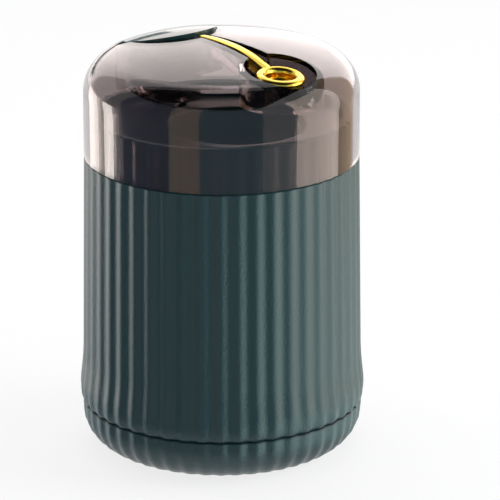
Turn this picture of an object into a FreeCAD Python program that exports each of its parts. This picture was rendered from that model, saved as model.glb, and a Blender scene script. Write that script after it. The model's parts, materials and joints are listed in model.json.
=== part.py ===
# Press-button toothpick dispenser: a reeded round body, a clear lid that lifts off, and a lever
# under the hopper that raises one pick through the gilt ring when the button is pressed.
# Millimetres, +Z up, origin at the centre of the underside. The outlet is towards -Y.

import FreeCAD
import Part
import math
import os

# Outside form
lid_diameter = 75.0
lid_crown_height = 31.8
dome_radius = 120.0
shoulder_radius = 10.5
body_height = 70.0
body_taper = 0.8
flare_growth = 0.9
flare_height = 15.0
flare_crown_height = 4.0
flare_roll = 0.7
base_height = 12.3
base_fillet = 10.0
edge_chamfer = 0.3
parting_gap = 0.3

# Shares of the flare's height and growth where its curve bends, and steps of the base fillet
flare_shares = ((0.18, 0.86), (0.42, 0.52), (0.7, 0.18))
roll_shares = ((0.2, 0.45), (0.5, 0.83))
fillet_steps = 6

# Reeds round the body, the base and the neck
rib_count = 48
rib_depth = 0.8

# Walls
body_wall = 2.2
base_wall = 2.7
lid_wall = 1.7
well_wall = 1.5

# Neck under the lid, and the key that sets the lid the right way round
neck_height = 12.2
neck_wall = 1.7
neck_gap = 0.3
neck_rounding = 0.9
neck_rounding_steps = 3
ledge_width = 1.6
ledge_height = 1.6
key_width = 5.0
key_depth = 1.2

# Non-slip ring under the base
pad_height = 1.5
pad_proud = 0.5
pad_inset = 1.5
pad_width = 8.0
pad_gap = 0.1

# Spigot of the base inside the body, and the base screws
spigot_height = 2.8
spigot_wall = 1.7
spigot_gap = 0.1
screw_count = 4
boss_radius = 3.5
boss_height = 11.0
pillar_radius = 4.0
web_thickness = 1.6
base_screw_radius = 1.5
base_screw_head_radius = 2.7
base_screw_head_height = 1.8
base_screw_bite = 7.0
base_screw_seat = 7.5
screw_gap = 0.05
head_gap = 0.2
slot_width = 0.8
slot_depth_share = 0.5

# Hopper tray
deck_thickness = 2.0
deck_sink = 2.2
deck_gap = 0.15
hopper_wall = 1.8
hopper_front = 0.8
hopper_back_gap = 1.8
mouth_rounding = 0.8
guide_web = 2.0
hook_width = 6.0
hook_thickness = 1.5
hook_barb = 1.0
hook_barb_height = 1.4
hook_gap = 0.1
hook_angles = (30, 150, 270)
frame_boss_radius = 3.2
frame_boss_height = 12.0

# Button, its stem and the cup round the stem
button_radius = 12.9
button_inset = 15.6
button_tilt = 14.5
button_crown = 1.2
button_sink = 0.65
button_skirt = 4.2
button_wall = 1.5
button_top = 2.0
button_gap = 0.25
button_travel = 6.5
stop_gap = 0.4
stem_radius = 3.0
stem_flat_share = 0.87
stem_boss_radius = 4.6
stem_boss_height = 4.0
running_gap = 0.08
stem_clip_radius = 4.5
stem_clip_height = 1.0
stem_land = 0.8
clip_groove_depth = 0.6
clip_mouth_share = 0.8
clip_gap = 0.02
spring_cup_radius = 7.2
seat_gap = 0.3

# Push rod, its clip and its guide
rod_radius = 2.5
rod_end_rounding = 0.5
rod_clip_radius = 4.6
rod_clip_height = 1.0
guide_wall = 1.2
guide_drop = 37.5
counterbore_gap = 0.5

# Springs
return_wire_radius = 0.4
return_coil_radius = 3.6
return_turns = 7
button_wire_radius = 0.35
button_coil_radius = 5.6
button_turns = 4
end_coil_gap = 0.5
end_half_turns = 2
wire_sides = 8
seat_width = 0.9
gap_samples = 60

# Rocker lever, its pin and the lugs that hold it
rear_arm = 11.5
lever_tip_radius = 2.8
lever_width = 6.0
hub_radius = 4.2
beam_share = 0.85
beam_tip_share = 0.55
pocket_start_share = 0.22
pocket_end_share = 0.86
pocket_height_share = 0.5
lever_web = 2.0
pin_radius = 1.5
pin_fit = 0.02
pin_head_radius = 2.4
pin_head_height = 0.8
lug_thickness = 2.8
lug_gap = 0.4
lug_margin = 2.2
floor_gap = 0.5

# Lifter
blade_width = 2.3
blade_gap = 0.2
blade_fit = 0.02
foot_size = 6.4
foot_thickness = 2.4
foot_gap = 0.3
dimple_radius = 2.4
dimple_depth = 0.35

# Mechanism frame that closes the hopper
frame_thickness = 2.0
frame_gap = 0.4
plug_gap = 0.15
trough_radius = 45.0
trough_slope = 7.0
trough_rise = 0.5
frame_floor = 1.8
frame_skirt = 1.6
shelf_width = 11.0
shelf_overhang = 5.5
frame_screw_radius = 1.3
frame_screw_head_radius = 2.6
frame_screw_head_height = 1.6
frame_screw_bite = 8.0

# Gilt ring and strap, and the pocket and channel that they lie in
ring_radius = 6.8
ring_bore_radius = 4.0
ring_foot_radius = 4.9
ring_bowl_depth = 3.4
ring_band = 0.9
ring_lip = 0.4
ring_sink = 2.4
ring_tilt = 6.5
pocket_radius = 9.7
pocket_depth = 5.5
outlet_inset = 13.4
strap_start_width = 2.2
strap_end_width = 3.2
strap_thickness = 1.6
strap_start_rise = 0.2
strap_middle_sink = 1.2
strap_middle_share = 0.45
strap_edge_radius = 0.4
strap_step = 0.3
channel_start_width = 3.0
channel_end_width = 8.0
channel_gap = 0.3
channel_drop = 2.0
peg_radius = 0.9
peg_depth = 2.6
peg_place_share = 0.22

# Outlet sleeve
sleeve_radius = 3.2
sleeve_hole_radius = 1.7
sleeve_gap = 0.1
sleeve_flange_radius = 6.4
sleeve_flange_height = 1.0
sleeve_funnel_radius = 2.8
sleeve_funnel_height = 4.0
sleeve_recess = 2.2

# One overrun for every cut
overrun = 2.0

ORIGIN = FreeCAD.Vector(0, 0, 0)
X_AXIS = FreeCAD.Vector(1, 0, 0)
Z_AXIS = FreeCAD.Vector(0, 0, 1)

# Radii and heights worked out from the sizes above
lid_radius = lid_diameter / 2
base_top = pad_proud + base_height
body_bottom = base_top + parting_gap
lid_seam = base_top + body_height
lid_bottom = lid_seam + parting_gap
lid_top = lid_seam + lid_crown_height
rim_top = lid_seam + neck_height
deck_top = rim_top - deck_sink
ledge_top = deck_top - deck_thickness
floor_top = pad_proud + base_wall
lid_bore = lid_radius - lid_wall
neck_radius = lid_bore - neck_gap
neck_bore = neck_radius - rib_depth - neck_wall
ledge_bore = neck_bore - ledge_width
waist_radius = lid_radius + body_taper
crown_radius = waist_radius + flare_growth
seam_radius = crown_radius - flare_roll
body_bore_top = lid_radius - rib_depth - body_wall
body_bore_bottom = seam_radius - rib_depth - body_wall
spigot_radius = body_bore_bottom - spigot_gap
base_bore = spigot_radius - spigot_wall
boss_bottom = body_bottom + spigot_height
pad_outer_radius = seam_radius - base_fillet - pad_inset
pad_inner_radius = pad_outer_radius - pad_width
screw_circle_radius = pad_outer_radius - pad_width / 2

# Button and outlet keep their distance from the lid's edge, and the hopper fills the room between
button_place = lid_radius - button_inset
outlet_place = lid_radius - outlet_inset
guide_radius = stem_clip_radius + counterbore_gap + guide_wall
hopper_front_place = outlet_place + hopper_front
hopper_back_place = button_place - guide_radius - hopper_back_gap - hopper_wall
hopper_radius = (hopper_front_place + hopper_back_place) / 2
hopper_offset = hopper_front_place - hopper_radius
hopper_outer = hopper_radius + hopper_wall

# Crown of the lid: a large sphere that runs into a rounded shoulder
dome_centre = lid_top - dome_radius
shoulder_place = lid_radius - shoulder_radius
shoulder_height = dome_centre + math.sqrt((dome_radius - shoulder_radius) ** 2 - shoulder_place ** 2)
shoulder_angle = math.atan2(shoulder_height - dome_centre, shoulder_place)

# Lever geometry: the swing is even about level, so both tips move nearly straight
pivot_place = button_place - rear_arm
front_arm = pivot_place + outlet_place
half_swing = math.asin(button_travel / 2 / rear_arm)
lift = 2 * front_arm * math.sin(half_swing)
front_tip_low = floor_top + floor_gap + lever_tip_radius
pivot_height = front_tip_low + front_arm * math.sin(half_swing)
foot_bottom = front_tip_low + lever_tip_radius + foot_gap
foot_top = foot_bottom + foot_thickness
frame_bottom = foot_top + lift + frame_gap
frame_top = frame_bottom + frame_thickness
rod_bottom = pivot_height + rear_arm * math.sin(half_swing) + lever_tip_radius + foot_gap
rod_top = deck_top + seat_gap
guide_bottom = deck_top - guide_drop
rod_clip_top = guide_bottom - seat_gap
rod_clip_bottom = rod_clip_top - rod_clip_height
stem_bottom = rod_top + seat_gap
frame_boss_place = hopper_outer + frame_boss_radius
slot_half = blade_width / 2 + blade_gap


def vec(x, y, z):
    return FreeCAD.Vector(x, y, z)


def cylinder(radius, bottom, top, x=0, y=0):
    return Part.makeCylinder(radius, top - bottom, vec(x, y, bottom), Z_AXIS)


def cross_cylinder(radius, half_length, y, z):
    return Part.makeCylinder(radius, 2 * half_length, vec(-half_length, y, z), X_AXIS)


def box(x0, x1, y0, y1, z0, z1):
    return Part.makeBox(x1 - x0, y1 - y0, z1 - z0, vec(x0, y0, z0))


def line(a, b):
    return Part.makeLine(vec(a[0], 0, a[1]), vec(b[0], 0, b[1]))


def round_line(a, middle, b):
    points = [vec(p[0], 0, p[1]) for p in (a, middle, b)]
    return Part.Arc(*points).toShape()


def turned(edges, y=0):
    """Solid of revolution about the upright axis at y, from edges given as radius and height."""
    face = Part.Face(Part.Wire(edges))
    solid = face.revolve(ORIGIN, Z_AXIS, 360)
    return solid.translated(vec(0, y, 0))


def turned_outline(points, y=0):
    edges = [line(a, b) for a, b in zip(points, points[1:] + points[:1])]
    return turned(edges, y)


def side_prism(points, half_width):
    """Prism across X from an outline given as Y and Z."""
    corners = [vec(-half_width, p[0], p[1]) for p in points]
    face = Part.Face(Part.makePolygon(corners + corners[:1]))
    return face.extrude(vec(2 * half_width, 0, 0))


def plan_prism(points, bottom, top):
    corners = [vec(p[0], p[1], bottom) for p in points]
    face = Part.Face(Part.makePolygon(corners + corners[:1]))
    return face.extrude(vec(0, 0, top - bottom))


def tilted_space(y, z, tilt, above=True):
    """Everything above, or below, a plane through (0, y, z) that is turned about X by tilt."""
    size = lid_diameter
    start = 0 if above else -size
    space = Part.makeBox(2 * size, 2 * size, size, vec(-size, -size, start))
    space.rotate(ORIGIN, X_AXIS, tilt)
    return space.translated(vec(0, y, z))


def polar(radius, angle, z):
    return vec(radius * math.cos(angle), radius * math.sin(angle), z)


def reed_ring(crest, z):
    """Outline of convex reeds, with a valley towards -Y."""
    step = 2 * math.pi / rib_count
    start = -math.pi / 2
    edges = []
    for i in range(rib_count):
        angle = start + i * step
        first = polar(crest - rib_depth, angle, z)
        middle = polar(crest, angle + step / 2, z)
        last = polar(crest - rib_depth, angle + step, z)
        edges.append(Part.Arc(first, middle, last).toShape())
    return Part.Wire(edges)


def reeded(stations):
    return Part.makeLoft([reed_ring(crest, z) for z, crest in stations], True, True)


def joined(shapes):
    whole = shapes[0].multiFuse(shapes[1:]) if len(shapes) > 1 else shapes[0]
    return whole.removeSplitter()


def slotted_screw(x, y, seat, head_radius, head_height, radius, length):
    """Pan head screw that points up, with its head under the seat."""
    head = cylinder(head_radius, seat - head_height, seat, x, y)
    shank = cylinder(radius, seat - head_height / 2, seat + length, x, y)
    depth = head_height * slot_depth_share
    slot = box(x - head_radius, x + head_radius, y - slot_width / 2, y + slot_width / 2,
               seat - head_height - depth, seat - head_height + depth)
    return head.fuse(shank).cut(slot)


def retaining_clip(inner, outer, bottom, top, y):
    """Flat clip, open towards +X, that snaps into a groove."""
    ring = cylinder(outer, bottom, top, 0, y).cut(cylinder(inner, bottom - overrun, top + overrun, 0, y))
    half_mouth = inner * clip_mouth_share
    mouth = box(0, outer + overrun, y - half_mouth, y + half_mouth, bottom - overrun, top + overrun)
    return ring.cut(mouth)


def groove(radius, bottom, top, y):
    ring = cylinder(radius + overrun, bottom, top, 0, y)
    return ring.cut(cylinder(radius - clip_groove_depth, bottom, top, 0, y))


def surface_height(radius):
    """Height of the lid's outer surface at a distance from the axis."""
    if radius <= dome_radius * math.cos(shoulder_angle):
        return dome_centre + math.sqrt(dome_radius ** 2 - radius ** 2)
    run = radius - shoulder_place
    return shoulder_height + math.sqrt(shoulder_radius ** 2 - run ** 2)


def lid_form(inset, bottom):
    """Solid under the lid's outer surface, drawn in by inset."""
    dome = dome_radius - inset
    shoulder = shoulder_radius - inset
    side = lid_radius - inset
    middle = (math.pi / 2 + shoulder_angle) / 2
    apex = (0, dome_centre + dome)
    bend = (dome * math.cos(middle), dome_centre + dome * math.sin(middle))
    join = (dome * math.cos(shoulder_angle), dome_centre + dome * math.sin(shoulder_angle))
    half = shoulder_angle / 2
    turn = (shoulder_place + shoulder * math.cos(half), shoulder_height + shoulder * math.sin(half))
    drop = (side, shoulder_height)
    return turned([round_line(apex, bend, join), round_line(join, turn, drop),
                   line(drop, (side, bottom)), line((side, bottom), (0, bottom)), line((0, bottom), apex)])


# Heights in the lid
button_rim = surface_height(button_place) - button_sink
button_slope = math.tan(math.radians(button_tilt))
well_radius = button_radius + button_gap
well_floor = button_rim - button_skirt - button_travel - stop_gap
stem_clip_bottom = stem_bottom + stem_land
stem_clip_top = stem_clip_bottom + stem_clip_height
cup_bottom = stem_clip_top + seat_gap
cup_floor = cup_bottom + well_wall
spring_seat_radius = button_coil_radius + button_wire_radius + seat_width
spring_seat = button_rim - button_top - spring_seat_radius * button_slope
stem_top = spring_seat
ring_top = surface_height(outlet_place) - ring_sink
pocket_floor = ring_top - pocket_depth
pocket_under = pocket_floor - lid_wall
strap_start = button_place - well_radius - strap_step
strap_end = -outlet_place + ring_radius * math.cos(math.pi / 4)
strap_start_height = surface_height(strap_start) + strap_start_rise
strap_end_height = ring_top + (strap_end + outlet_place) * math.tan(math.radians(ring_tilt)) - ring_lip
strap_middle = strap_start + (strap_end - strap_start) * strap_middle_share
strap_middle_height = surface_height(abs(strap_middle)) - strap_middle_sink
peg_place = strap_start + (strap_end - strap_start) * peg_place_share


def body_stations():
    stations = [(body_bottom, seam_radius - edge_chamfer)]
    for rise, growth in roll_shares:
        stations.append((body_bottom + flare_crown_height * rise, seam_radius + flare_roll * growth))
    stations.append((body_bottom + flare_crown_height, crown_radius))
    for rise, growth in flare_shares:
        z = body_bottom + flare_crown_height + (flare_height - flare_crown_height) * rise
        stations.append((z, waist_radius + flare_growth * growth))
    stations.append((body_bottom + flare_height, waist_radius))
    stations.append((lid_seam - edge_chamfer, lid_radius))
    stations.append((lid_seam, lid_radius - edge_chamfer))
    return stations


def neck_stations():
    """The reeds of the neck run up from inside the body and are rounded off at the rim."""
    stations = [(lid_seam - edge_chamfer, neck_radius), (rim_top - neck_rounding, neck_radius)]
    for step in range(1, neck_rounding_steps + 1):
        angle = step * math.pi / 2 / neck_rounding_steps
        stations.append((rim_top - neck_rounding * (1 - math.sin(angle)),
                         neck_radius - neck_rounding * (1 - math.cos(angle))))
    return stations


def screw_places():
    for i in range(screw_count):
        angle = math.pi * (2 * i + 1) / screw_count
        yield angle, screw_circle_radius * math.cos(angle), screw_circle_radius * math.sin(angle)


def screw_boss(angle, x, y):
    """Boss with a web that ties it to the wall."""
    top = boss_bottom + boss_height
    web = box(0, body_bore_top - screw_circle_radius + body_wall / 2,
              -web_thickness / 2, web_thickness / 2, boss_bottom, top)
    web.rotate(ORIGIN, Z_AXIS, math.degrees(angle))
    return cylinder(boss_radius, boss_bottom, top, x, y).fuse(web.translated(vec(x, y, 0)))


def make_outer_body():
    shell = reeded(body_stations()).fuse(reeded(neck_stations()))
    ledge_under = ledge_top - ledge_height
    step_height = lid_seam - body_wall - (body_bore_top - neck_bore)
    cavity = turned_outline([(0, body_bottom - overrun), (body_bore_bottom, body_bottom - overrun),
                             (body_bore_bottom, body_bottom), (body_bore_top, step_height),
                             (neck_bore, step_height + body_bore_top - neck_bore), (neck_bore, ledge_under),
                             (ledge_bore, ledge_under), (ledge_bore, ledge_top), (neck_bore, ledge_top),
                             (neck_bore, rim_top + overrun), (0, rim_top + overrun)])
    shell = shell.cut(cavity)
    key_floor = lid_bore - key_depth - neck_gap
    half_key = key_width / 2 + neck_gap
    shell = shell.cut(box(-half_key, half_key, key_floor, lid_radius + overrun,
                          lid_seam, rim_top + overrun))
    pieces = [shell]
    for angle, x, y in screw_places():
        pieces.append(screw_boss(angle, x, y))
    body = joined(pieces)
    for angle, x, y in screw_places():
        body = body.cut(cylinder(base_screw_radius + screw_gap, boss_bottom - overrun,
                                 boss_bottom + base_screw_bite + screw_gap, x, y))
    return body


def make_base_cover():
    stations = [(base_top, seam_radius - edge_chamfer), (base_top - edge_chamfer, seam_radius),
                (pad_proud + base_fillet, seam_radius)]
    for step in range(1, fillet_steps + 1):
        angle = step * math.pi / 2 / fillet_steps
        stations.append((pad_proud + base_fillet * (1 - math.sin(angle)),
                         seam_radius - base_fillet * (1 - math.cos(angle))))
    cover = reeded(stations[::-1])
    inner_fillet = base_fillet - body_wall
    corner = inner_fillet * math.cos(math.pi / 4)
    spigot_top = body_bottom + spigot_height
    spigot = cylinder(spigot_radius, base_top - spigot_height, spigot_top)
    low = (base_bore - inner_fillet, floor_top)
    bend = (base_bore - inner_fillet + corner, floor_top + inner_fillet - corner)
    high = (base_bore, floor_top + inner_fillet)
    lip = (base_bore, spigot_top + overrun)
    apex = (0, spigot_top + overrun)
    cavity = turned([line((0, floor_top), low), round_line(low, bend, high), line(high, lip),
                     line(lip, apex), line(apex, (0, floor_top))])
    cover = cover.fuse(spigot).cut(cavity)
    pillars = [cylinder(pillar_radius, floor_top - base_wall / 2, boss_bottom, x, y)
               for angle, x, y in screw_places()]
    cover = joined([cover] + pillars)
    recess_top = pad_height
    recess = cylinder(pad_outer_radius + pad_gap, 0, recess_top)
    cover = cover.cut(recess.cut(cylinder(pad_inner_radius - pad_gap, 0, recess_top)))
    for angle, x, y in screw_places():
        cover = cover.cut(cylinder(base_screw_head_radius + head_gap, 0, base_screw_seat, x, y))
        cover = cover.cut(cylinder(base_screw_radius + screw_gap, 0, boss_bottom + overrun, x, y))
    return cover


def make_base_pad():
    ring = cylinder(pad_outer_radius, 0, pad_height)
    return ring.cut(cylinder(pad_inner_radius, 0, pad_height))


def make_base_screws():
    length = boss_bottom + base_screw_bite - base_screw_seat
    return Part.makeCompound([slotted_screw(x, y, base_screw_seat, base_screw_head_radius,
                                            base_screw_head_height, base_screw_radius, length)
                              for angle, x, y in screw_places()])


def snap_hook(angle):
    """Hook under the deck that clicks below the ledge."""
    outer = math.sqrt((ledge_bore - hook_gap) ** 2 - (hook_width / 2) ** 2)
    barb_top = ledge_top - ledge_height - hook_gap
    barb_bottom = barb_top - hook_barb_height
    inner = outer - hook_thickness
    outline = [(inner, ledge_top + deck_thickness / 2), (inner, barb_bottom), (outer, barb_bottom),
               (outer + hook_barb, barb_top), (outer, barb_top), (outer, ledge_top + deck_thickness / 2)]
    hook = side_prism(outline, hook_width / 2)
    hook.rotate(ORIGIN, Z_AXIS, angle - 90)
    return hook


def make_hopper_tray():
    deck = cylinder(neck_bore - deck_gap, ledge_top, deck_top)
    cup = cylinder(hopper_outer, frame_top, deck_top, 0, -hopper_offset)
    rib_half = slot_half + hopper_wall
    rib = box(-rib_half, rib_half, -outlet_place - rib_half, -outlet_place + rib_half, frame_top, deck_top)
    guide = cylinder(guide_radius, guide_bottom, deck_top, 0, button_place)
    web = box(-guide_web / 2, guide_web / 2, hopper_radius - hopper_offset + hopper_wall / 2,
              button_place, guide_bottom, deck_top)
    pieces = [deck, cup, rib, guide, web]
    for side in (-1, 1):
        pieces.append(cylinder(frame_boss_radius, frame_top, frame_top + frame_boss_height,
                               side * frame_boss_place, -hopper_offset))
        inner = side * (hopper_radius + hopper_wall / 2)
        outer = side * frame_boss_place
        pieces.append(box(min(inner, outer), max(inner, outer), -hopper_offset - web_thickness / 2,
                          -hopper_offset + web_thickness / 2, frame_top, frame_top + frame_boss_height))
    pieces += [snap_hook(angle) for angle in hook_angles]
    tray = joined(pieces)
    tray = tray.cut(cylinder(hopper_radius, frame_top - overrun, deck_top + overrun, 0, -hopper_offset))
    tray = tray.cut(mouth_cutter())
    tray = tray.cut(box(-slot_half, slot_half, -outlet_place - slot_half, -outlet_place + 2 * slot_half,
                        frame_top - overrun, deck_top + overrun))
    tray = tray.cut(cylinder(rod_radius + running_gap, guide_bottom - overrun,
                             deck_top + overrun, 0, button_place))
    tray = tray.cut(cylinder(stem_clip_radius + counterbore_gap, stem_bottom - button_travel - seat_gap,
                             deck_top + overrun, 0, button_place))
    for side in (-1, 1):
        tray = tray.cut(cylinder(frame_screw_radius + screw_gap, frame_top - overrun,
                                 frame_top + frame_screw_bite + screw_gap,
                                 side * frame_boss_place, -hopper_offset))
    return tray


def mouth_cutter():
    """Rounds the top edge of the hopper's mouth."""
    low = (hopper_radius, deck_top - mouth_rounding)
    top = (hopper_radius + mouth_rounding, deck_top)
    corner = mouth_rounding * math.cos(math.pi / 4)
    bend = (hopper_radius + mouth_rounding - corner, deck_top - mouth_rounding + corner)
    outside = (top[0], deck_top + overrun)
    inside = (hopper_radius - overrun, deck_top + overrun)
    under = (hopper_radius - overrun, low[1])
    return turned([round_line(low, bend, top), line(top, outside), line(outside, inside),
                   line(inside, under), line(under, low)], -hopper_offset)


def trough_cutter(radius):
    """Large cylinder whose lowest line is the hopper floor, low at the outlet."""
    slope = math.radians(trough_slope)
    along = vec(0, math.cos(slope), math.sin(slope))
    up = vec(0, -math.sin(slope), math.cos(slope))
    front = vec(0, -hopper_offset - hopper_radius, frame_top + trough_rise)
    start = front + up * trough_radius - along * lid_diameter
    return Part.makeCylinder(radius, 2 * lid_diameter, start, along)


def pivot_lug(side):
    """Lug that hangs from the hopper floor and holds one end of the pivot pin."""
    inner = side * (lever_width / 2 + lug_gap)
    outer = side * (lever_width / 2 + lug_gap + lug_thickness)
    x0, x1 = min(inner, outer), max(inner, outer)
    half = pin_radius + lug_margin
    upright = box(x0, x1, pivot_place - half, pivot_place + half, pivot_height, frame_top)
    root = box(x0, x1, pivot_place - half, pivot_place + half, frame_bottom, frame_top + hopper_radius)
    root = root.common(cylinder(hopper_radius - plug_gap, frame_bottom, frame_top + hopper_radius,
                                0, -hopper_offset))
    eye = Part.makeCylinder(half, x1 - x0, vec(x0, pivot_place, pivot_height), X_AXIS)
    return upright.fuse([root, eye]).cut(trough_cutter(trough_radius + frame_floor / 2))


def make_mechanism_frame():
    plug_radius = hopper_radius - plug_gap
    plug = cylinder(plug_radius, frame_bottom, frame_top + hopper_radius, 0, -hopper_offset)
    plug = plug.cut(trough_cutter(trough_radius))
    flange = cylinder(hopper_outer, frame_bottom, frame_top, 0, -hopper_offset)
    hollow = cylinder(plug_radius - frame_skirt, frame_bottom - overrun,
                      frame_top + hopper_radius, 0, -hopper_offset)
    hollow = hollow.cut(trough_cutter(trough_radius + frame_floor))
    rim = plug.fuse(flange).cut(hollow)
    shelf = box(-shelf_width / 2, shelf_width / 2, hopper_radius - hopper_offset,
                button_place + shelf_overhang, frame_bottom, frame_top)
    pieces = [rim, shelf, pivot_lug(-1), pivot_lug(1)]
    for side in (-1, 1):
        pieces.append(cylinder(frame_boss_radius, frame_bottom, frame_top,
                               side * frame_boss_place, -hopper_offset))
        inner = side * (hopper_radius + hopper_wall / 2)
        outer = side * frame_boss_place
        pieces.append(box(min(inner, outer), max(inner, outer), -hopper_offset - frame_boss_radius,
                          -hopper_offset + frame_boss_radius, frame_bottom, frame_top))
    rib_half = slot_half + hopper_wall
    pieces.append(box(-rib_half, rib_half, -outlet_place - rib_half,
                      -outlet_place + rib_half, frame_bottom, frame_top))
    frame = joined(pieces)
    frame = frame.cut(box(-slot_half, slot_half, -outlet_place - slot_half, -outlet_place + slot_half,
                          frame_bottom - overrun, frame_top + hopper_radius))
    frame = frame.cut(cylinder(rod_radius + running_gap, frame_bottom - overrun,
                               frame_top + overrun, 0, button_place))
    frame = frame.cut(cross_cylinder(pin_radius + pin_fit, lid_radius, pivot_place, pivot_height))
    for side in (-1, 1):
        frame = frame.cut(cylinder(frame_screw_radius + screw_gap, frame_bottom - overrun,
                                   frame_top + overrun, side * frame_boss_place, -hopper_offset))
    return frame


def make_frame_screws():
    length = frame_thickness + frame_screw_bite
    return Part.makeCompound([slotted_screw(side * frame_boss_place, -hopper_offset, frame_bottom,
                                            frame_screw_head_radius, frame_screw_head_height,
                                            frame_screw_radius, length)
                              for side in (-1, 1)])


def make_pivot_pin():
    half = lever_width / 2 + lug_gap + lug_thickness
    pin = cross_cylinder(pin_radius, half, pivot_place, pivot_height)
    head = Part.makeCylinder(pin_head_radius, pin_head_height,
                             vec(half, pivot_place, pivot_height), X_AXIS)
    return pin.fuse(head)


def make_rocker_lever():
    """Lever drawn level, then turned to its rest, with the front tip down."""
    front = pivot_place - front_arm
    rear = pivot_place + rear_arm
    tip = lever_tip_radius * beam_tip_share
    hub = hub_radius * beam_share
    beam = side_prism([(front, tip), (pivot_place, hub), (rear, tip),
                       (rear, -tip), (pivot_place, -hub), (front, -tip)], lever_width / 2)
    pieces = [beam, cross_cylinder(lever_tip_radius, lever_width / 2, front, 0),
              cross_cylinder(hub_radius, lever_width / 2, pivot_place, 0),
              cross_cylinder(lever_tip_radius, lever_width / 2, rear, 0)]
    lever = joined(pieces)
    for side in (-1, 1):
        lever = lever.cut(lever_pocket(side, front))
    lever = lever.cut(cross_cylinder(pin_radius + running_gap, lever_width, pivot_place, 0))
    lever = lever.translated(vec(0, 0, pivot_height))
    lever.rotate(vec(0, pivot_place, pivot_height), X_AXIS, math.degrees(half_swing))
    return lever


def lever_pocket(side, front):
    """Recess in the side of the long arm, which leaves a web down the middle."""
    start = pivot_place - front_arm * pocket_start_share
    end = pivot_place - front_arm * pocket_end_share
    wide = hub_radius * pocket_height_share
    narrow = lever_tip_radius * pocket_height_share
    pocket = side_prism([(start, wide), (start, -wide), (end, -narrow), (end, narrow)], lever_width / 2)
    return pocket.translated(vec(side * (lever_width / 2 + lever_web / 2), 0, 0))


def make_lifter_blade():
    half = blade_width / 2
    blade = box(-half, half, -outlet_place - half, -outlet_place + half, foot_bottom, frame_top)
    centre = vec(0, -outlet_place, frame_top + dimple_radius - dimple_depth)
    return blade.cut(Part.makeSphere(dimple_radius, centre))


def make_lifter_foot():
    half = foot_size / 2
    foot = box(-half, half, -outlet_place - half, -outlet_place + half, foot_bottom, foot_top)
    hole = blade_width / 2 + blade_fit
    return foot.cut(box(-hole, hole, -outlet_place - hole, -outlet_place + hole,
                        foot_bottom - overrun, foot_top + overrun))


def make_push_rod():
    rod = cylinder(rod_radius, rod_bottom, rod_top, 0, button_place)
    ends = [edge for edge in rod.Edges if edge.Curve.TypeId == "Part::GeomCircle"]
    rod = rod.makeFillet(rod_end_rounding, ends)
    return rod.cut(groove(rod_radius, rod_clip_bottom - clip_gap, rod_clip_top + clip_gap, button_place))


def make_rod_clip():
    return retaining_clip(rod_radius - clip_groove_depth + clip_gap, rod_clip_radius,
                          rod_clip_bottom, rod_clip_top, button_place)


def arc_to(start, corner, end):
    """Arc that leaves start and reaches end along the two lines through corner."""
    middle = (start + end) * 0.5
    share = start.distanceToPoint(middle) / start.distanceToPoint(corner)
    top = middle + (corner - middle) * (share / (1 + share))
    return Part.Arc(start, top, end).toShape()


def double_arc(start, leave, end, arrive):
    """Two arcs that join two points and keep their directions."""
    span = end - start
    both = leave + arrive
    square = 4 - both.dot(both)
    along = span.dot(both)
    reach = (-along + math.sqrt(along ** 2 + square * span.dot(span))) / square
    first = start + leave * reach
    second = end - arrive * reach
    join = (first + second) * 0.5
    return [arc_to(start, first, join), arc_to(join, second, end)]


def wire_section(centre, direction, radius):
    """Many-sided outline of the wire, square to its direction."""
    across = direction.cross(X_AXIS).normalize()
    corners = []
    for i in range(wire_sides + 1):
        angle = 2 * math.pi * (i % wire_sides) / wire_sides
        corners.append(centre + X_AXIS * (radius * math.cos(angle)) + across * (radius * math.sin(angle)))
    return Part.makePolygon(corners)


def coil_spring(name, coil_radius, wire_radius, bottom, top, turns, y):
    """Compression spring with close end turns, as one tube on arcs of a half turn."""
    low = bottom + wire_radius
    end_rise = wire_radius + end_coil_gap / 2
    middle_count = 2 * (turns - end_half_turns)
    middle_rise = (top - bottom - 2 * (wire_radius + end_half_turns * end_rise)) / middle_count
    rises = [end_rise] * end_half_turns + [middle_rise] * middle_count + [end_rise] * end_half_turns
    heights = [low + sum(rises[:i]) for i in range(2 * turns + 1)]
    points = []
    directions = []
    for i, z in enumerate(heights):
        side = 1 if i % 2 == 0 else -1
        near = rises[max(i - 1, 0):i + 1]
        slope = sum(near) / len(near) / math.pi
        direction = vec(0, side * coil_radius, slope)
        points.append(vec(side * coil_radius, y, z))
        directions.append(direction.normalize())
    edges = []
    for i in range(2 * turns):
        edges += double_arc(points[i], directions[i], points[i + 1], directions[i + 1])
    path = Part.Wire(edges)
    pipe = Part.BRepOffsetAPI.MakePipeShell(path)
    pipe.add(wire_section(points[0], directions[0], wire_radius))
    pipe.build()
    pipe.makeSolid()
    print(name, "least gap between turns", round(least_gap(path, wire_radius, turns), 3))
    return pipe.shape()


def least_gap(path, wire_radius, turns):
    """Least free space between turns, measured on points of the wire's middle line."""
    count = gap_samples * turns
    points = path.discretize(Number=count)
    apart = gap_samples // 2
    nearest = min(points[i].distanceToPoint(points[j])
                  for i in range(count) for j in range(i + apart, count))
    return nearest - 2 * wire_radius


def make_return_spring():
    return coil_spring("return_spring", return_coil_radius, return_wire_radius,
                       frame_top, rod_clip_bottom, return_turns, button_place)


def make_button_spring():
    return coil_spring("button_spring", button_coil_radius, button_wire_radius,
                       cup_floor, spring_seat, button_turns, button_place)


def flat_stem(radius, bottom, top):
    """Round stem with one flat, which keeps the button from turning."""
    flat = radius * stem_flat_share
    stem = cylinder(radius, bottom, top, 0, button_place)
    return stem.cut(box(-radius - overrun, radius + overrun, button_place + flat,
                        button_place + radius + overrun, bottom - overrun, top + overrun))


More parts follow.
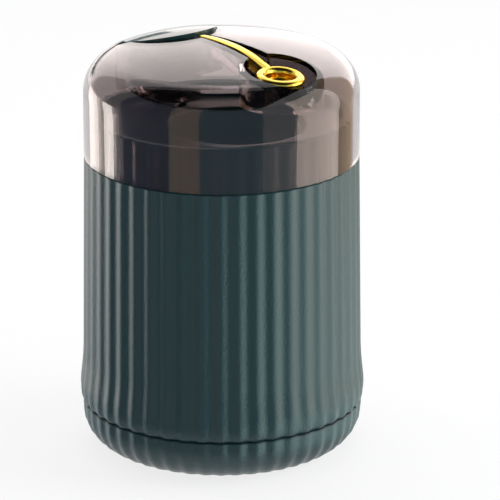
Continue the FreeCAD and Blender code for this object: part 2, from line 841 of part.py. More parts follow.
def make_button_cap():
    across = button_radius / math.cos(math.radians(button_tilt))
    sphere_radius = (across ** 2 + button_crown ** 2) / (2 * button_crown)
    depth = sphere_radius - button_crown
    lean = math.radians(button_tilt)
    centre = vec(0, button_place - depth * math.sin(lean), button_rim - depth * math.cos(lean))
    crown = Part.makeSphere(sphere_radius, centre)
    tall = lid_radius
    outer = cylinder(button_radius, button_rim - tall, button_rim + tall, 0, button_place).common(crown)
    outer = outer.cut(tilted_space(button_place, button_rim - button_skirt, -button_tilt, above=False))
    inner = cylinder(button_radius - button_wall, button_rim - tall, button_rim + tall, 0, button_place)
    inner = inner.cut(tilted_space(button_place, button_rim - button_top, -button_tilt))
    seat = cylinder(spring_seat_radius, spring_seat, button_rim, 0, button_place)
    boss = cylinder(stem_boss_radius, spring_seat - stem_boss_height, button_rim, 0, button_place)
    posts = seat.fuse(boss).cut(tilted_space(button_place, button_rim - button_top / 2, -button_tilt))
    cap = outer.cut(inner).fuse(posts)
    return cap.cut(flat_stem(stem_radius + clip_gap, spring_seat - stem_boss_height - overrun,
                             stem_top + clip_gap))


def make_button_stem():
    stem = flat_stem(stem_radius, stem_bottom, stem_top)
    return stem.cut(groove(stem_radius, stem_clip_bottom - clip_gap, stem_clip_top + clip_gap, button_place))


def make_stem_clip():
    return retaining_clip(stem_radius - clip_groove_depth + clip_gap, stem_clip_radius,
                          stem_clip_bottom, stem_clip_top, button_place)


def channel(margin, drop):
    """Tapered channel for the strap, from the button's edge to the pocket, widened by margin."""
    start = strap_start + strap_step + well_wall
    end = -outlet_place
    half_start = channel_start_width / 2 + margin
    half_end = channel_end_width / 2 + margin
    plan = plan_prism([(-half_start, start), (-half_end, end), (half_end, end), (half_start, start)],
                      pocket_under, lid_top + overrun)
    floor_start = strap_start_height - strap_thickness - channel_gap - drop
    floor_middle = strap_middle_height - strap_thickness - channel_gap - drop
    floor_end = strap_end_height - strap_thickness - channel_drop - drop
    side = side_prism([(start, floor_start), (strap_middle, floor_middle), (strap_end, floor_end),
                       (end, floor_end), (end, lid_top + overrun), (start, lid_top + overrun)], lid_radius)
    return plan.common(side)


def make_lid_shell():
    outer = lid_form(0, lid_bottom)
    shell = outer.cut(lid_form(lid_wall, lid_bottom - overrun))
    well_block = cylinder(well_radius + well_wall, cup_bottom, lid_top, 0, button_place)
    well_block = well_block.cut(tilted_space(button_place, well_floor - well_wall, -button_tilt, above=False))
    cup_block = cylinder(spring_cup_radius + well_wall, cup_bottom, lid_top, 0, button_place)
    pocket_block = cylinder(pocket_radius + well_wall, pocket_under, lid_top, 0, -outlet_place)
    key = box(-key_width / 2, key_width / 2, lid_bore - key_depth, lid_bore + lid_wall / 2,
              lid_bottom, shoulder_height)
    blocks = [well_block, cup_block, pocket_block, channel(well_wall, lid_wall), key]
    lid = joined([shell] + [block.common(outer) for block in blocks])
    well = cylinder(well_radius, cup_floor, lid_top + overrun, 0, button_place)
    well = well.cut(tilted_space(button_place, well_floor, -button_tilt, above=False))
    lid = lid.cut(well)
    lid = lid.cut(cylinder(spring_cup_radius, cup_floor, lid_top + overrun, 0, button_place))
    lid = lid.cut(flat_stem(stem_radius + running_gap, cup_bottom - overrun, cup_floor + overrun))
    lid = lid.cut(cylinder(pocket_radius, pocket_floor, lid_top + overrun, 0, -outlet_place))
    lid = lid.cut(channel(0, 0))
    lid = lid.cut(cylinder(sleeve_radius + sleeve_gap, pocket_under - overrun,
                           pocket_floor + overrun, 0, -outlet_place))
    return lid.cut(cylinder(peg_radius + sleeve_gap, pocket_under, lid_top, 0, peg_place))


def gilt_ring():
    """Flat ring over a bowl, drawn about an upright axis with its top at zero, then tilted."""
    edge = (ring_radius, -ring_lip)
    band = (ring_radius, -ring_band)
    foot = (ring_foot_radius, -ring_bowl_depth)
    swell = (ring_radius - (ring_radius - ring_foot_radius) * (1 - math.cos(math.pi / 4)),
             -ring_band - (ring_bowl_depth - ring_band) * math.sin(math.pi / 4))
    bowl = turned([line((0, 0), (ring_radius - ring_lip, 0)), line((ring_radius - ring_lip, 0), edge),
                   line(edge, band), round_line(band, swell, foot),
                   line(foot, (0, -ring_bowl_depth)), line((0, -ring_bowl_depth), (0, 0))])
    bore = cylinder(ring_bore_radius, -sleeve_recess, overrun)
    flare = Part.makeCone(ring_bore_radius, ring_bore_radius + ring_lip, ring_lip, vec(0, 0, -ring_lip))
    ring = bowl.cut(bore).cut(flare)
    ring.rotate(ORIGIN, X_AXIS, ring_tilt)
    return ring.translated(vec(0, -outlet_place, ring_top))


def make_gilt_trim():
    half_start = strap_start_width / 2
    half = strap_end_width / 2
    top = [vec(-half, strap_start, strap_start_height), vec(-half, strap_middle, strap_middle_height),
           vec(-half, strap_end, strap_end_height)]
    under = [point - vec(0, 0, strap_thickness) for point in top]
    edges = [Part.Arc(*top).toShape(), Part.makeLine(top[2], under[2]),
             Part.Arc(*under[::-1]).toShape(), Part.makeLine(under[0], top[0])]
    strap = Part.Face(Part.Wire(edges)).extrude(vec(strap_end_width, 0, 0))
    strap = strap.common(plan_prism([(-half_start, strap_start), (-half, strap_end), (half, strap_end),
                                     (half_start, strap_start)], pocket_floor, lid_top + overrun))
    long_edges = [edge for edge in strap.Edges
                  if edge.Length > strap_thickness + strap_end_width
                  and edge.valueAt(edge.FirstParameter).z > strap_end_height - strap_edge_radius
                  and edge.CenterOfMass.z > strap_middle_height - strap_thickness / 2]
    strap = strap.makeFillet(strap_edge_radius, long_edges)
    peg_top = surface_height(abs(peg_place)) - strap_thickness / 2
    peg = cylinder(peg_radius, peg_top - peg_depth, peg_top, 0, peg_place)
    foot = cylinder(ring_foot_radius, pocket_floor, ring_top - ring_bowl_depth / 2, 0, -outlet_place)
    trim = joined([gilt_ring(), foot, strap, peg])
    return trim.cut(cylinder(sleeve_radius + sleeve_gap, pocket_floor - overrun,
                             ring_top + overrun, 0, -outlet_place))


def make_outlet_sleeve():
    flange_bottom = pocket_under - sleeve_flange_height
    top = ring_top - sleeve_recess - seat_gap
    tube = cylinder(sleeve_radius, flange_bottom, top, 0, -outlet_place)
    flange = cylinder(sleeve_flange_radius, flange_bottom, pocket_under, 0, -outlet_place)
    funnel = Part.makeCone(sleeve_funnel_radius, sleeve_hole_radius, sleeve_funnel_height,
                           vec(0, -outlet_place, flange_bottom))
    sleeve = tube.fuse(flange).cut(funnel)
    return sleeve.cut(cylinder(sleeve_hole_radius, flange_bottom - overrun, top + overrun, 0, -outlet_place))


parts = {
    "outer_body": make_outer_body(),
    "base_cover": make_base_cover(),
    "base_pad": make_base_pad(),
    "base_screws": make_base_screws(),
    "hopper_tray": make_hopper_tray(),
    "mechanism_frame": make_mechanism_frame(),
    "frame_screws": make_frame_screws(),
    "pivot_pin": make_pivot_pin(),
    "rocker_lever": make_rocker_lever(),
    "lifter_blade": make_lifter_blade(),
    "lifter_foot": make_lifter_foot(),
    "push_rod": make_push_rod(),
    "rod_clip": make_rod_clip(),
    "return_spring": make_return_spring(),
    "lid_shell": make_lid_shell(),
    "gilt_trim": make_gilt_trim(),
    "outlet_sleeve": make_outlet_sleeve(),
    "button_cap": make_button_cap(),
    "button_stem": make_button_stem(),
    "stem_clip": make_stem_clip(),
    "button_spring": make_button_spring(),
}

os.makedirs("parts", exist_ok=True)
for name, shape in parts.items():
    shape.exportStep(os.path.join("parts", name + ".step"))
    print(name, "solids", len(shape.Solids), "valid", shape.isValid(), "volume", round(shape.Volume, 1))

for label, value in (("pivot place", pivot_place), ("pivot height", pivot_height),
                     ("half swing", math.degrees(half_swing)), ("lift", lift), ("frame top", frame_top),
                     ("rod bottom", rod_bottom), ("rod top", rod_top), ("ring top", ring_top),
                     ("button rim", button_rim), ("lid top", lid_top)):
    print(label, round(value, 3))
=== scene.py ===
"""Press-button toothpick dispenser: finishes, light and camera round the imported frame."""

import json
import math

import bpy
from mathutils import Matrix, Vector

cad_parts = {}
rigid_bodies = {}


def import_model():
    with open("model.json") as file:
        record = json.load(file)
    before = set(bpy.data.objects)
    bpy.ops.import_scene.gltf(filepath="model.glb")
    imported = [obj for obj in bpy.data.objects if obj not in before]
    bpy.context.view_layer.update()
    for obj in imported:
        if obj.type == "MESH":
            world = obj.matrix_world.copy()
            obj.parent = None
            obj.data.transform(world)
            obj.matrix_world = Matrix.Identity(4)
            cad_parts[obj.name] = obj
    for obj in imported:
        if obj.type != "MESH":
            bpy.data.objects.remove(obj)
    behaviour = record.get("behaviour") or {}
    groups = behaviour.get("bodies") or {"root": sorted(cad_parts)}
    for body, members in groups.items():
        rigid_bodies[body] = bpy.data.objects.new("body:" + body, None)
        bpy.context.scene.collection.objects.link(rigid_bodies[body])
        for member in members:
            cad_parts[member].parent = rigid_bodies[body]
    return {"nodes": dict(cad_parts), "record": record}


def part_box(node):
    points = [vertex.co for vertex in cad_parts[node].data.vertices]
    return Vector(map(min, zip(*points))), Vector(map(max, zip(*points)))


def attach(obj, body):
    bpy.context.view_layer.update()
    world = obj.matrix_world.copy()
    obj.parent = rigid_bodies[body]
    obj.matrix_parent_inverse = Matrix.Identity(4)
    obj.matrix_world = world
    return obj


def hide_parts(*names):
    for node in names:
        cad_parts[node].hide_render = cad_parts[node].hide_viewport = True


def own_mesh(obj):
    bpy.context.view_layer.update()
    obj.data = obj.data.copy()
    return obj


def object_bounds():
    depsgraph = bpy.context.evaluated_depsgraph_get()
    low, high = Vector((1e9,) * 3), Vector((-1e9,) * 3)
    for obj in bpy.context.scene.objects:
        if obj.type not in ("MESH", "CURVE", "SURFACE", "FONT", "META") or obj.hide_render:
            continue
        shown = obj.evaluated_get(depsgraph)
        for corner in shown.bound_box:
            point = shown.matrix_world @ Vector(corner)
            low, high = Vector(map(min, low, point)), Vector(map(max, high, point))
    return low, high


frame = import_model()
cad_low, cad_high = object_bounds()
nodes = frame["nodes"]

MM = 0.001

# Camera: aim height, distance and pitch as the photograph shows them
CAMERA_AZIMUTH = math.radians(-40.9)
CAMERA_PITCH = math.radians(18.87)
CAMERA_DISTANCE = 1100 * MM
CAMERA_AIM = 54.94 * MM
CAMERA_ASIDE = 7.706 * MM
SENSOR = 36.0
FOCAL_PIXELS = 4010.9
IMAGE_PIXELS = 500.0

# Reeds, softened from the solid's sharp valleys to the wave that the photograph shows
REED_COUNT = 48
REED_DEPTH = 0.8 * MM
REED_SHOWN = 0.5 * MM
LEVEL_STEP = 0.02 * MM
LEVEL_LEAST = 1000

# Meshes are welded and split at edges sharper than this
WELD = 0.002 * MM
SHARP_EDGE = math.radians(22)

# Grain: waves per metre, strength and height
PEARL_GRAIN = (1700.0, 0.8, 0.16 * MM)
MOULDED_WAVES = 1200.0
MOULDED_STRENGTH = 0.1
MOULDED_HEIGHT = 0.05 * MM

# Lid's crown, and the places of the button and the outlet on it
DOME_RADIUS = 120.0 * MM
BUTTON_PLACE = 21.9 * MM
# The next two are radii of painted shade on the lid: round the button's well, and in the ring's pocket
WELL_BLOCK = 14.9 * MM
POCKET = 9.8 * MM
POCKET_FLOOR = 104.26 * MM
OUTLET = Vector(next(mount["pos_m"] for mount in frame["record"]["mounts"] if mount["name"] == "pick_outlet"))

# Gilt ring and strap: a rounded band over a bowl, and a strap that lies almost flush with the crown
RING_TOP = 110.6 * MM
RING_TILT = math.tan(math.radians(6.5))
RING_OUTER = 6.8 * MM
RING_HOLE = 3.9 * MM
RING_BAND = 1.15 * MM
RING_SLEEVE = 3.32 * MM
RING_STEP = 2.3 * MM
BOWL_TOP = 2.1 * MM
BOWL_FOOT = 4.9 * MM
BOWL_DEPTH = 4.0 * MM
BOWL_EDGE_SHARE = 0.8
BAND_ANGLES = range(180, -45, -15)
BOWL_ANGLES = [90 * step / 8 for step in range(9)]
RING_SEGMENTS = 96
STRAP_START = 8.45 * MM
STRAP_START_HALF = 1.1 * MM
STRAP_END_HALF = 1.6 * MM
STRAP_EDGE = 0.45 * MM
STRAP_CROWN = 0.12 * MM
STRAP_STEPS = 40
STRAP_BEND = 3.5
STRAP_RISE = 0.15 * MM
STRAP_DEPTH = (1.4 * MM, 3.0 * MM, 0.34 * MM)
EASED_ANGLES = (30, 60, 90)

# Smoke of the lid, with painted shade that darkens it round the button's well and in the recess of ring and strap,
# and the plan of the strap's channel where that shade is painted
LID_IOR = 1.49
SMOKE = (0.44, 0.39, 0.39)
# Painted shade: the smoke near black in the recess of ring and strap, and darker round the button's well
RECESS_PAINTED_SHADE = (0.05, 0.04, 0.045)
WELL_PAINTED_SHADE = (0.22, 0.19, 0.195)
CHANNEL_HALF = 2.3 * MM
CHANNEL_TAPER = 0.078
DOME_TOP_DROP = 0.67 * MM

# Cards: their distance and the heights between which the body, the lid's wall and its dome reflect them
CARD_RADIUS = 0.93
CARD_LOW = -0.6
CARD_MIDDLE = -0.232
CARD_WALL = -0.212
STRIPE_HIGH = 0.1
CARD_HIGH = 0.9
CARD_STEP = 6

# Card behind the object: its distance, ends, heights and brightness from right to left
BACK_RADIUS = 0.96
BACK_START = 139
BACK_END = 224
BACK_STEP = 5
BACK_LOW = 0.05
BACK_HIGH = 1.0
BACK_BRIGHT = 2.9
BACK_FAINT = 1.6

# Floor and world: how far the floor is shown white, its size, and the soft light all round
FLOOR_GLOW = 0.8
FLOOR_SIZE = 6.0
WHITE = (1.0, 1.0, 1.0, 1.0)
SOFT_LIGHT = (0.9, 0.92, 1.0, 1.0)
SOFT_STRENGTH = 0.45
LAMP_AIM = 60 * MM


def material(name):
    mat = bpy.data.materials.new(name)
    mat.use_nodes = True
    tree = mat.node_tree
    tree.nodes.clear()
    out = tree.nodes.new("ShaderNodeOutputMaterial")
    return mat, tree, out


def node(tree, kind, **inputs):
    made = tree.nodes.new(kind)
    for key, value in inputs.items():
        made.inputs[key.replace("_", " ")].default_value = value
    return made


def principled(tree, colour, roughness, metallic=0.0):
    shader = tree.nodes.new("ShaderNodeBsdfPrincipled")
    shader.inputs["Base Color"].default_value = (*colour, 1.0)
    shader.inputs["Roughness"].default_value = roughness
    shader.inputs["Metallic"].default_value = metallic
    return shader


def add_grain(tree, shader, scale, strength, distance):
    place = tree.nodes.new("ShaderNodeTexCoord")
    noise = node(tree, "ShaderNodeTexNoise", Scale=scale, Detail=3.0, Roughness=0.6)
    bump = node(tree, "ShaderNodeBump", Strength=strength, Distance=distance)
    tree.links.new(place.outputs["Object"], noise.inputs["Vector"])
    tree.links.new(noise.outputs["Fac"], bump.inputs["Height"])
    tree.links.new(bump.outputs["Normal"], shader.inputs["Normal"])


def calculate(tree, operation, first, second):
    made = tree.nodes.new("ShaderNodeMath")
    made.operation = operation
    tree.links.new(first, made.inputs[0])
    if isinstance(second, float):
        made.inputs[1].default_value = second
    else:
        tree.links.new(second, made.inputs[1])
    return made.outputs[0]


def plain(name, colour, roughness, metallic=0.0, grain=(MOULDED_WAVES, MOULDED_STRENGTH, MOULDED_HEIGHT)):
    """One colour and gloss, with a fine grain where one is given."""
    mat, tree, out = material(name)
    shader = principled(tree, colour, roughness, metallic)
    if grain:
        add_grain(tree, shader, *grain)
    tree.links.new(shader.outputs["BSDF"], out.inputs["Surface"])
    return mat


def within(tree, flat, place, radius):
    """One inside a round area of the lid's plan."""
    apart = tree.nodes.new("ShaderNodeVectorMath")
    apart.operation = "DISTANCE"
    tree.links.new(flat, apart.inputs[0])
    apart.inputs[1].default_value = (0.0, place, 0.0)
    return calculate(tree, "LESS_THAN", apart.outputs["Value"], radius)


def painted_shade_areas(tree):
    """Two masks of painted shade on the lid: round the button's well, and in the recess of ring and strap."""
    place = tree.nodes.new("ShaderNodeTexCoord")
    parts = tree.nodes.new("ShaderNodeSeparateXYZ")
    tree.links.new(place.outputs["Object"], parts.inputs[0])
    flat = tree.nodes.new("ShaderNodeCombineXYZ")
    tree.links.new(parts.outputs["X"], flat.inputs["X"])
    tree.links.new(parts.outputs["Y"], flat.inputs["Y"])
    well = within(tree, flat.outputs[0], BUTTON_PLACE, WELL_BLOCK)
    pocket = within(tree, flat.outputs[0], OUTLET.y, POCKET)
    aside = calculate(tree, "ABSOLUTE", parts.outputs["X"], 0.0)
    taper = calculate(tree, "MULTIPLY", parts.outputs["Y"], CHANNEL_TAPER)
    channel = calculate(tree, "LESS_THAN", calculate(tree, "ADD", aside, taper), CHANNEL_HALF)
    for axis, operation, limit in (("Y", "LESS_THAN", STRAP_START), ("Y", "GREATER_THAN", OUTLET.y),
                                   ("Z", "GREATER_THAN", POCKET_FLOOR)):
        channel = calculate(tree, "MULTIPLY", channel, calculate(tree, operation, parts.outputs[axis], limit))
    return well, calculate(tree, "MAXIMUM", pocket, channel)


def tinted(tree, mask, colour):
    """Mix of the lid's smoke with a painted shade colour where the mask is one."""
    tint = tree.nodes.new("ShaderNodeMix")
    tint.data_type = "RGBA"
    tint.inputs["A"].default_value = (*SMOKE, 1.0)
    tint.inputs["B"].default_value = (*colour, 1.0)
    tree.links.new(mask, tint.inputs["Factor"])
    return tint


def smoked_clear():
    """Clear smoky plastic with painted shade in its recesses, which also lets tinted light through to the pieces
    under it.
    """
    mat, tree, out = material("smoked_clear")
    shader = principled(tree, SMOKE, 0.0)
    shader.inputs["Transmission Weight"].default_value = 1.0
    shader.inputs["IOR"].default_value = LID_IOR
    through = tree.nodes.new("ShaderNodeBsdfTransparent")
    # Painted shade on the lid: darker smoke round the button's well, near black in the recess of ring and strap
    well, recess = painted_shade_areas(tree)
    tint = tinted(tree, recess, RECESS_PAINTED_SHADE)
    tree.links.new(tinted(tree, well, WELL_PAINTED_SHADE).outputs["Result"], tint.inputs["A"])
    tree.links.new(tint.outputs["Result"], shader.inputs["Base Color"])
    each_face = node(tree, "ShaderNodeGamma", Gamma=0.5)
    tree.links.new(tint.outputs["Result"], each_face.inputs["Color"])
    tree.links.new(each_face.outputs["Color"], through.inputs["Color"])
    path = tree.nodes.new("ShaderNodeLightPath")
    mix = tree.nodes.new("ShaderNodeMixShader")
    tree.links.new(path.outputs["Is Shadow Ray"], mix.inputs["Fac"])
    tree.links.new(shader.outputs["BSDF"], mix.inputs[1])
    tree.links.new(through.outputs["BSDF"], mix.inputs[2])
    tree.links.new(mix.outputs["Shader"], out.inputs["Surface"])
    return mat


def finish(name, mat, piece=None):
    """Material and smooth shading for a node, or for the piece that stands for it."""
    piece = piece or nodes[name]
    piece.data.materials.clear()
    piece.data.materials.append(mat)
    for polygon in piece.data.polygons:
        polygon.use_smooth = True
    weld = piece.modifiers.new("weld", "WELD")
    weld.merge_threshold = WELD
    split = piece.modifiers.new("edges", "EDGE_SPLIT")
    split.split_angle = SHARP_EDGE


def stand_in(name, body, slot, points, faces):
    """New piece that takes the place of a node."""
    mesh = bpy.data.meshes.new(name + "_shown")
    mesh.from_pydata(points, [], faces)
    piece = bpy.data.objects.new(name + "_shown", mesh)
    bpy.context.scene.collection.objects.link(piece)
    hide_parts(name)
    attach(piece, body)
    return piece


def copied(name):
    """Points and faces of a node."""
    mesh = nodes[name].data
    return [vertex.co.copy() for vertex in mesh.vertices], [tuple(polygon.vertices) for polygon in mesh.polygons]


def soft_reeds(name):
    """The node with its reeds as shallow waves, on the same crests."""
    points, faces = copied(name)
    levels = {}
    for point in points:
        levels.setdefault(round(point.z / LEVEL_STEP), []).append(math.hypot(point.x, point.y))
    crests = {level: max(radii) for level, radii in levels.items() if len(radii) > LEVEL_LEAST}
    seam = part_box("lid_shell")[0].z - MM
    neck_crest = max((radius for level, radii in levels.items() for radius in radii
                      if level * LEVEL_STEP > seam + MM), default=0)
    for point in points:
        radius = math.hypot(point.x, point.y)
        crest = crests.get(round(point.z / LEVEL_STEP), 0)
        if point.z > seam and crest - radius > 2 * REED_DEPTH:
            crest = neck_crest
        if not 0 <= crest - radius <= REED_DEPTH + LEVEL_STEP:
            continue
        turn = (math.atan2(point.y, point.x) + math.pi / 2) * REED_COUNT
        shown = crest - REED_SHOWN * (1 + math.cos(turn)) / 2
        point.x *= shown / radius
        point.y *= shown / radius
    return stand_in(name, "housing", "pearl_green", points, faces)


def pressed_spring(name, body):
    """The node's spring as a copy with a mesh of its own."""
    piece = stand_in(name, body, "spring_steel", *copied(name))
    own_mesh(piece)
    return piece


def polish_neck(piece, mat):
    """The neck under the lid is smooth, without the pearl grain, and its green is painted lighter than the body's
    to make up for the dimmer light under the lid.
    """
    piece.data.materials.append(mat)
    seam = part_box("lid_shell")[0].z
    for polygon in piece.data.polygons:
        if polygon.center.z > seam:
            polygon.material_index = 1


def crown_height(y):
    """Height of the lid's crown on the plane of ring and button."""
    return cad_high.z - DOME_TOP_DROP - DOME_RADIUS + math.sqrt(DOME_RADIUS ** 2 - y * y)


def ring_mesh():
    """Rounded band and bowl round the outlet's axis, with the band tilted as the crown is."""
    middle = (RING_OUTER + RING_HOLE) / 2
    half = (RING_OUTER - RING_HOLE) / 2
    foot = RING_TOP - POCKET_FLOOR
    profile = [(RING_SLEEVE, -foot), (RING_SLEEVE, -RING_STEP), (RING_HOLE, -RING_STEP)]
    for degrees in BAND_ANGLES:
        angle = math.radians(degrees)
        profile.append((middle + half * math.cos(angle), RING_BAND * (math.sin(angle) - 1)))
    for degrees in BOWL_ANGLES:
        angle = math.radians(degrees)
        profile.append((BOWL_FOOT + (middle + half * BOWL_EDGE_SHARE - BOWL_FOOT) * math.cos(angle),
                        -BOWL_TOP - (BOWL_DEPTH - BOWL_TOP) * math.sin(angle)))
    profile.append((BOWL_FOOT, -foot))
    points, faces = [], []
    for turn in range(RING_SEGMENTS):
        angle = 2 * math.pi * turn / RING_SEGMENTS
        for radius, height in profile:
            y = radius * math.sin(angle)
            tilt = RING_TILT * y * (1 + height / foot)
            points.append((radius * math.cos(angle), OUTLET.y + y, RING_TOP + height + tilt))
    count = len(profile)
    for turn in range(RING_SEGMENTS):
        first, second = turn * count, (turn + 1) % RING_SEGMENTS * count
        for step in range(count):
            after = (step + 1) % count
            faces.append((first + step, second + step, second + after, first + after))
    return points, faces


def strap_mesh(start_index):
    """Tapered strap from the button's edge to the ring, with eased edges."""
    end = OUTLET.y + (RING_OUTER + RING_HOLE) / 2
    drop = crown_height(end) - RING_TOP - RING_TILT * (end - OUTLET.y) + STRAP_RISE + STRAP_CROWN
    points, faces = [], []
    for step in range(STRAP_STEPS + 1):
        share = step / STRAP_STEPS
        y = STRAP_START + (end - STRAP_START) * share
        half = STRAP_START_HALF + (STRAP_END_HALF - STRAP_START_HALF) * share
        top = crown_height(y) + STRAP_RISE - drop * share ** STRAP_BEND
        foot = crown_height(y) - sum(depth * share ** power for power, depth in enumerate(STRAP_DEPTH))
        side = [(half, foot), (half, top - STRAP_EDGE)]
        for degrees in EASED_ANGLES:
            lean = math.radians(degrees)
            side.append((half - STRAP_EDGE * (1 - math.cos(lean)), top - STRAP_EDGE * (1 - math.sin(lean))))
        section = side + [(0.0, top + STRAP_CROWN)] + [(-x, z) for x, z in reversed(side)]
        points += [(x, y, z) for x, z in section]
    count = len(section)
    for step in range(STRAP_STEPS):
        first, second = start_index + step * count, start_index + (step + 1) * count
        for i in range(count):
            after = (i + 1) % count
            faces.append((first + i, first + after, second + after, second + i))
    last = start_index + STRAP_STEPS * count
    faces.append(tuple(range(start_index + count - 1, start_index - 1, -1)))
    faces.append(tuple(range(last, last + count)))
    return points, faces


def gilt_piece():
    """Ring and strap in one piece."""
    ring_points, ring_faces = ring_mesh()
    strap_points, strap_faces = strap_mesh(len(ring_points))
    return stand_in("gilt_trim", "lid", "gilt", ring_points + strap_points, ring_faces + strap_faces)


green = plain("pearl_green", (0.009, 0.042, 0.046), 0.34, grain=PEARL_GRAIN)
deep = plain("deep_green", (0.022, 0.05, 0.053), 0.25)
# Painted light: the neck's green is lighter than the body's, standing in for the light the smoked lid holds back
neck = plain("neck_green_lightened", (0.018, 0.055, 0.065), 0.1, grain=None)
clear = smoked_clear()
gold = plain("gilt", (0.85, 0.6, 0.09), 0.14, 1.0, grain=None)
button = plain("button_green", (0.015, 0.05, 0.048), 0.12)
grey = plain("inner_grey", (0.09, 0.1, 0.1), 0.5)
white = plain("inner_white", (0.72, 0.70, 0.66), 0.45)
steel = plain("plain_steel", (0.6, 0.6, 0.62), 0.25, 1.0)
wire = plain("spring_steel", (0.5, 0.5, 0.52), 0.2, 1.0)
pad = plain("soft_pad", (0.02, 0.02, 0.02), 0.7)

body = soft_reeds("outer_body")
finish("outer_body", green, body)
polish_neck(body, neck)
finish("base_cover", green, soft_reeds("base_cover"))
finish("hopper_tray", deep)
finish("lid_shell", clear)
finish("gilt_trim", gold, gilt_piece())
finish("outlet_sleeve", gold)
finish("button_cap", button)
for name in ("button_stem", "rocker_lever", "lifter_foot"):
    finish(name, white)
for name in ("base_screws", "frame_screws", "pivot_pin", "lifter_blade", "push_rod"):
    finish(name, steel)
for name in ("rod_clip", "stem_clip"):
    finish(name, wire)
for joint in frame["record"]["behaviour"]["joints"]:
    for spring in joint.get("deforming_nodes", []):
        name = spring["node"]
        piece = pressed_spring(name, joint["parent"])
        finish(name, wire, piece)
finish("mechanism_frame", grey)
finish("base_pad", pad)


def clear_path(tree):
    """One for rays straight from the camera, through clear pieces and off glossy ones."""
    path = tree.nodes.new("ShaderNodeLightPath")
    last = path.outputs["Is Camera Ray"]
    for name in ("Is Glossy Ray", "Is Transmission Ray"):
        last = calculate(tree, "MAXIMUM", last, path.outputs[name])
    return calculate(tree, "MULTIPLY", last, calculate(tree, "LESS_THAN", path.outputs["Diffuse Depth"], 0.5))


def make_world():
    """Soft light all round, and white wherever the background is seen."""
    world = bpy.data.worlds.new("studio")
    bpy.context.scene.world = world
    world.use_nodes = True
    tree = world.node_tree
    tree.nodes.clear()
    out = tree.nodes.new("ShaderNodeOutputWorld")
    soft = node(tree, "ShaderNodeBackground", Color=SOFT_LIGHT, Strength=SOFT_STRENGTH)
    shown = node(tree, "ShaderNodeBackground", Color=WHITE, Strength=1.0)
    mix = tree.nodes.new("ShaderNodeMixShader")
    tree.links.new(clear_path(tree), mix.inputs["Fac"])
    tree.links.new(soft.outputs["Background"], mix.inputs[1])
    tree.links.new(shown.outputs["Background"], mix.inputs[2])
    tree.links.new(mix.outputs["Shader"], out.inputs["Surface"])


def make_floor():
    """White floor that keeps the shadow, and lets reflections see what is below it."""
    bpy.ops.mesh.primitive_grid_add(x_subdivisions=8, y_subdivisions=8, size=FLOOR_SIZE, location=(0, 0, 0))
    floor = bpy.context.object
    floor.name = "floor"
    mat, tree, out = material("floor_white")
    lit = node(tree, "ShaderNodeBsdfDiffuse", Color=(0.9, 0.9, 0.9, 1.0))
    shown = node(tree, "ShaderNodeEmission", Color=WHITE, Strength=1.0)
    mix = tree.nodes.new("ShaderNodeMixShader")
    tree.links.new(calculate(tree, "MULTIPLY", clear_path(tree), FLOOR_GLOW), mix.inputs["Fac"])
    tree.links.new(lit.outputs["BSDF"], mix.inputs[1])
    tree.links.new(shown.outputs["Emission"], mix.inputs[2])
    unseen = tree.nodes.new("ShaderNodeBsdfTransparent")
    path = tree.nodes.new("ShaderNodeLightPath")
    either = tree.nodes.new("ShaderNodeMixShader")
    tree.links.new(calculate(tree, "GREATER_THAN", path.outputs["Glossy Depth"], 0.5), either.inputs["Fac"])
    tree.links.new(mix.outputs["Shader"], either.inputs[1])
    tree.links.new(unseen.outputs["BSDF"], either.inputs[2])
    tree.links.new(either.outputs["Shader"], out.inputs["Surface"])
    floor.data.materials.append(mat)


def around(degrees, radius, height):
    """Place at an angle from the camera's own direction, positive to the right as the camera sees it."""
    angle = CAMERA_AZIMUTH + math.radians(degrees)
    return Vector((radius * math.sin(angle), -radius * math.cos(angle), height))


def reflected(name, points, faces, colour, strength):
    """Glowing card that only reflections and clear pieces show."""
    mesh = bpy.data.meshes.new(name)
    mesh.from_pydata(points, [], faces)
    piece = bpy.data.objects.new(name, mesh)
    bpy.context.scene.collection.objects.link(piece)
    mat, tree, out = material(name)
    glow = node(tree, "ShaderNodeEmission", Color=(*colour, 1.0), Strength=strength)
    tree.links.new(glow.outputs["Emission"], out.inputs["Surface"])
    mesh.materials.append(mat)
    piece.visible_camera = False
    piece.visible_shadow = False
    piece.visible_diffuse = False


def card(name, start, end, low, high, radius, colour, strength):
    """Upright curved card round the object."""
    steps = max(2, int(abs(end - start) / CARD_STEP))
    points, faces = [], []
    for i in range(steps + 1):
        turn = start + (end - start) * i / steps
        points += [around(turn, radius, low), around(turn, radius, high)]
    for i in range(steps):
        faces.append((2 * i, 2 * i + 2, 2 * i + 3, 2 * i + 1))
    reflected(name, points, faces, colour, strength)


def roof(name, across, towards, height, colour, strength):
    """Level card over the object, laid out along and across the camera's own direction."""
    side, front = around(90, 1.0, 0.0), around(0, 1.0, 0.0)
    points = [side * u + front * v + Vector((0, 0, height))
              for u, v in ((across[0], towards[0]), (across[1], towards[0]),
                           (across[1], towards[1]), (across[0], towards[1]))]
    reflected(name, points, [(0, 1, 2, 3)], colour, strength)


def lamp(name, degrees, radius, height, size, power, colour=(1.0, 1.0, 1.0)):
    """Soft lamp that lights the object and isn't mirrored in it."""
    light = bpy.data.lights.new(name, "AREA")
    light.shape = "RECTANGLE"
    light.size, light.size_y = size
    light.energy = power
    light.color = colour
    piece = bpy.data.objects.new(name, light)
    piece.location = around(degrees, radius, height)
    aim = Vector((0, 0, LAMP_AIM)) - piece.location
    piece.rotation_euler = aim.to_track_quat("-Z", "Y").to_euler()
    bpy.context.scene.collection.objects.link(piece)
    piece.visible_glossy = False
    piece.visible_transmission = False


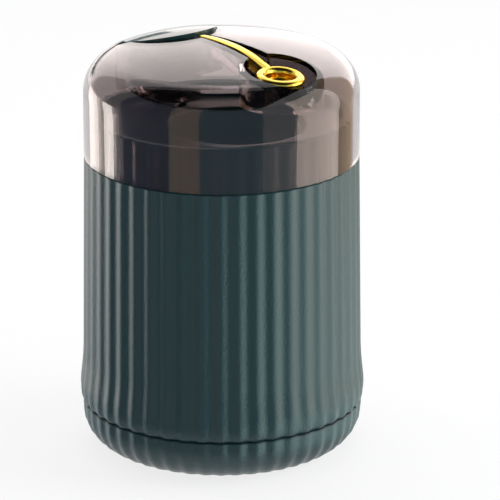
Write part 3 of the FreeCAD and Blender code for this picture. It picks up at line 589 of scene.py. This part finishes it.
make_world()
make_floor()
for low, high, cards in (
        (CARD_LOW, CARD_MIDDLE, (
            ("dark_front", -17.6, 32.0, (0.02, 0.025, 0.03), 1.0),
            ("dark_left", -100.0, -17.6, (0.03, 0.035, 0.045), 1.0),
            ("grey_left", -140.0, -100.0, (0.78, 0.92, 1.0), 1.4),
            ("green_right", 32.0, 80.0, (0.78, 1.0, 0.96), 4.0),
            ("green_far", 80.0, 139.0, (0.8, 1.0, 0.96), 2.0))),
        (CARD_MIDDLE, CARD_WALL, (
            ("wall_front", -96.0, 34.0, (0.2, 0.36, 0.48), 1.0),
            ("wall_left", -140.0, -96.0, (0.93, 0.96, 1.0), 1.0),
            ("wall_right", 34.0, 60.0, (0.9, 0.97, 1.0), 2.0),
            ("wall_pale", 60.0, 85.0, (1.0, 0.97, 0.95), 2.6),
            ("wall_far", 85.0, 139.0, (1.0, 0.98, 0.95), 1.4))),
        (CARD_WALL, CARD_HIGH, (
            ("navy_front", -17.6, 34.0, (0.32, 0.45, 0.54), 1.0),
            ("brown_left", -43.0, -17.6, (0.8, 0.66, 0.58), 1.1),
            ("navy_left", -92.0, -43.0, (0.24, 0.26, 0.36), 1.0),
            ("dim_right", 34.0, 64.0, (0.9, 0.95, 1.0), 0.8),
            ("warm_right", 64.0, 112.0, (1.0, 0.86, 0.77), 3.6),
            ("amber_right", 112.0, 139.0, (1.0, 0.75, 0.52), 1.0))),
        (CARD_WALL, STRIPE_HIGH, (
            ("grey_stripe", -99.0, -92.0, (0.9, 0.85, 0.85), 1.2),
            ("cream_stripe", -112.0, -99.0, (1.0, 0.93, 0.87), 7.0),
            ("brown_stripe", -121.0, -112.0, (1.0, 0.9, 0.8), 1.6),
            ("cream_left", -140.0, -121.0, (1.0, 0.93, 0.87), 4.0))),
        (STRIPE_HIGH, CARD_HIGH, (
            ("shade_left", -140.0, -92.0, (0.7, 0.66, 0.67), 1.0),))):
    for name, start, end, colour, strength in cards:
        card(name, start, end, low, high, CARD_RADIUS, colour, strength)
for turn in range(BACK_START, BACK_END, BACK_STEP):
    fade = (turn - BACK_START) / (BACK_END - BACK_START)
    card("back_%d" % turn, turn, turn + BACK_STEP, BACK_LOW, BACK_HIGH, BACK_RADIUS,
         (1.0, 0.94, 0.91), BACK_BRIGHT + (BACK_FAINT - BACK_BRIGHT) * fade)
card("dark_back", 185.0, 212.0, 0.1, 0.2, 0.9, (0.1, 0.14, 0.15), 1.0)
roof("dark_roof", (-1.0, 0.6), (-0.35, 1.0), 0.9, (0.02, 0.02, 0.025), 1.0)
lamp("key", 85, 0.8, 0.4, (0.5, 0.6), 5.5)
lamp("left", -115, 0.7, 0.25, (0.12, 0.6), 1.2, (1.0, 0.93, 0.8))
lamp("top", 180, 0.3, 0.9, (0.7, 0.7), 4)


def make_camera():
    """Camera at the photograph's angle, level in its own frame."""
    data = bpy.data.cameras.new("camera")
    data.sensor_width = SENSOR
    data.lens = FOCAL_PIXELS / IMAGE_PIXELS * SENSOR
    data.clip_start = 0.05
    data.clip_end = 20.0
    camera = bpy.data.objects.new("camera", data)
    bpy.context.scene.collection.objects.link(camera)
    back = Vector((math.sin(CAMERA_AZIMUTH) * math.cos(CAMERA_PITCH),
                   -math.cos(CAMERA_AZIMUTH) * math.cos(CAMERA_PITCH), math.sin(CAMERA_PITCH)))
    right = Vector((math.cos(CAMERA_AZIMUTH), math.sin(CAMERA_AZIMUTH), 0))
    camera.location = Vector((0, 0, CAMERA_AIM)) + back * CAMERA_DISTANCE + right * CAMERA_ASIDE
    camera.rotation_euler = (-back).to_track_quat("-Z", "Y").to_euler()
    bpy.context.scene.camera = camera


make_camera()
bpy.context.scene.view_settings.view_transform = "Standard"
